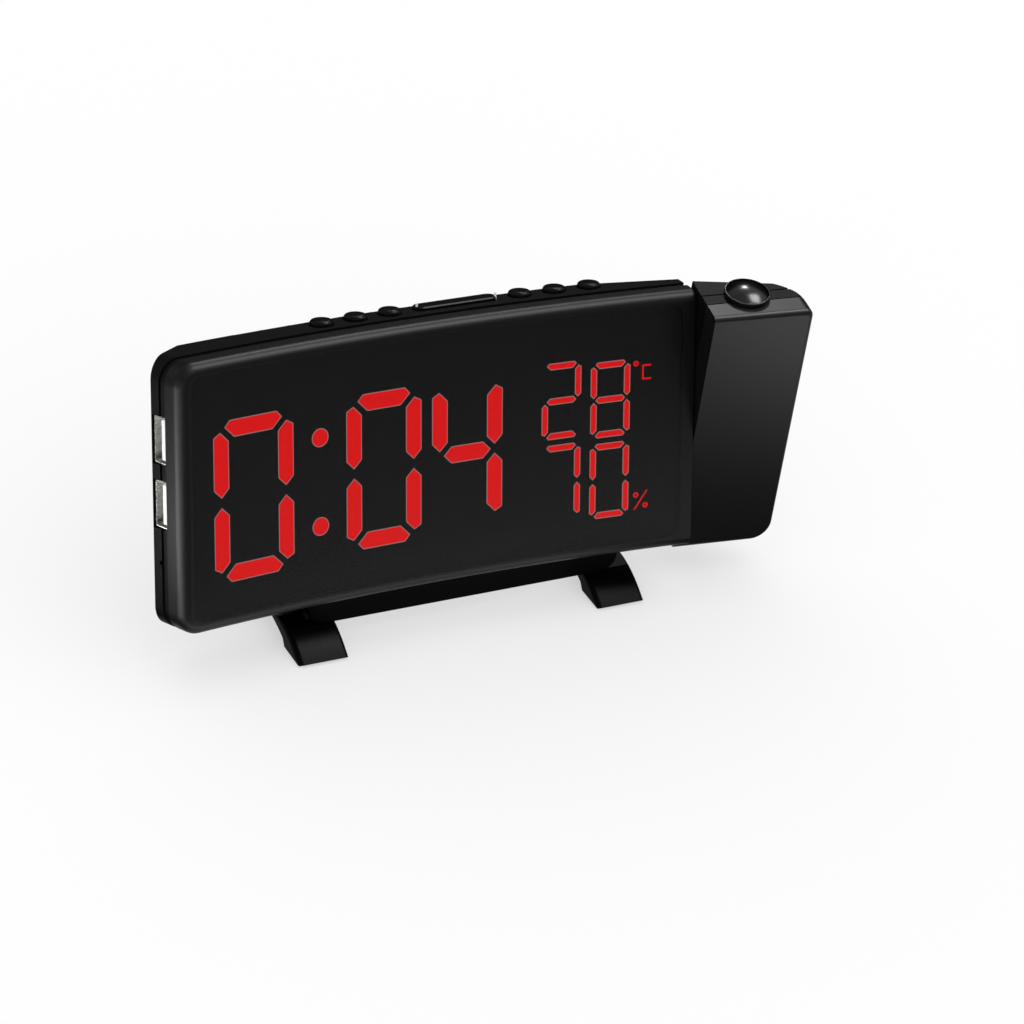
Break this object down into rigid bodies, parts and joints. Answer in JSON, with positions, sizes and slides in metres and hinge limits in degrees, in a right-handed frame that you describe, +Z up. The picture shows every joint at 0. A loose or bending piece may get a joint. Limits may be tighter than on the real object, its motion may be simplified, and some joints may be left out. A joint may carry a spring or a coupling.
{
  "type": "projection alarm clock",
  "caption": "Curved-face digital alarm clock with top keys, a snooze bar, two charging sockets and a turning projector pod on a two-footed stand.",
  "frame": {"origin": "on the table, at the middle of the whole clock's width and depth", "axes": "+X to the right as the clock is read, towards the projector pod; +Y to the back; +Z up from the table"},
  "size_m": [0.1974, 0.0496, 0.0949],
  "materials": {
    "case_black": "satin",
    "key_black": "gloss",
    "stand_black": "satin",
    "window_smoke": "smooth, smoked",
    "mask_black": "matt",
    "segment_red": "lit",
    "segment_dark": "smooth",
    "led_white": "smooth",
    "board_green": "lacquered",
    "chip_black": "moulded",
    "steel": "plated",
    "socket_metal": "plated",
    "tongue_white": "moulded",
    "speaker_metal": "plain",
    "cone_paper": "pressed paper",
    "cell_steel": "plated",
    "hub_plastic": "moulded",
    "washer_plastic": "moulded",
    "lens_ring_black": "gloss",
    "lens_glass": "polished",
    "lcd_glass": "smooth",
    "pad_rubber": "matt"
  },
  "bodies": {
    "clock": {"front_bezel": "case_black", "display_window": "window_smoke", "display_lightbox": "mask_black", "lit_segments": "segment_red", "dark_segments": "segment_dark", "segment_leds": "led_white", "display_board": "board_green", "back_shell": "case_black", "case_screws": "steel", "pivot_collar": "case_black", "key_board": "board_green", "key_switches": "chip_black", "usb_socket_upper": "socket_metal", "usb_socket_lower": "socket_metal", "usb_tongues": "tongue_white", "usb_board": "board_green", "humidity_sensor": "chip_black", "main_board": "board_green", "control_chips": "chip_black", "dc_inlet": "chip_black", "board_screws": "steel", "speaker_frame": "speaker_metal", "speaker_cone": "cone_paper", "backup_battery": "cell_steel", "battery_contact": "cell_steel", "stand_bar": "stand_black", "left_foot": "stand_black", "right_foot": "stand_black", "foot_pads": "pad_rubber", "body_screws": "steel", "foot_screws": "steel"},
    "pod": {"pod_front_shell": "case_black", "pod_rear_shell": "case_black", "pod_hub": "hub_plastic", "pod_screws": "steel", "friction_washer": "washer_plastic", "retaining_clip": "steel", "light_tunnel": "hub_plastic", "projector_lcd": "lcd_glass", "projector_board": "board_green", "projector_led": "led_white"},
    "lens": {"lens_ring": "lens_ring_black", "lens_dome": "lens_glass"},
    "battery_cap": {"battery_cap": "case_black"},
    "snooze_bar": {"snooze_bar": "key_black"},
    "key_1": {"key_1": "key_black"},
    "key_2": {"key_2": "key_black"},
    "key_3": {"key_3": "key_black"},
    "key_4": {"key_4": "key_black"},
    "key_5": {"key_5": "key_black"},
    "key_6": {"key_6": "key_black"}
  },
  "joints": [
    {"name": "pod_swivel", "type": "hinge", "parent": "clock", "child": "pod", "pos_m": [0.06717, -0.00591, 0.05028], "axis": [0.9816, -0.1793, 0.0653], "range_deg": [-110, 70]},
    {"name": "lens_focus", "type": "hinge", "parent": "pod", "child": "lens", "pos_m": [0.07795, -0.007, 0.09193], "axis": [-0.0653, 0.0059, 0.9979], "range_deg": [-45, 45]},
    {"name": "battery_cap_turn", "type": "hinge", "parent": "clock", "child": "battery_cap", "pos_m": [-0.00936, 0.01108, 0.04623], "axis": [0, 0.9397, -0.342], "range_deg": [0, 60]},
    {"name": "snooze_press", "type": "slide", "parent": "clock", "child": "snooze_bar", "axis": [0, -0.342, -0.9397], "range_m": [0, 0.0006], "stiffness_N_per_m": 1000, "springref_m": -0.0003},
    {"name": "key_1_press", "type": "slide", "parent": "clock", "child": "key_1", "axis": [0, -0.342, -0.9397], "range_m": [0, 0.0006], "stiffness_N_per_m": 800, "springref_m": -0.0003},
    {"name": "key_2_press", "type": "slide", "parent": "clock", "child": "key_2", "axis": [0, -0.342, -0.9397], "range_m": [0, 0.0006], "stiffness_N_per_m": 800, "springref_m": -0.0003},
    {"name": "key_3_press", "type": "slide", "parent": "clock", "child": "key_3", "axis": [0, -0.342, -0.9397], "range_m": [0, 0.0006], "stiffness_N_per_m": 800, "springref_m": -0.0003},
    {"name": "key_4_press", "type": "slide", "parent": "clock", "child": "key_4", "axis": [0, -0.342, -0.9397], "range_m": [0, 0.0006], "stiffness_N_per_m": 800, "springref_m": -0.0003},
    {"name": "key_5_press", "type": "slide", "parent": "clock", "child": "key_5", "axis": [0, -0.342, -0.9397], "range_m": [0, 0.0006], "stiffness_N_per_m": 800, "springref_m": -0.0003},
    {"name": "key_6_press", "type": "slide", "parent": "clock", "child": "key_6", "axis": [0, -0.342, -0.9397], "range_m": [0, 0.0006], "stiffness_N_per_m": 800, "springref_m": -0.0003}
  ]
}
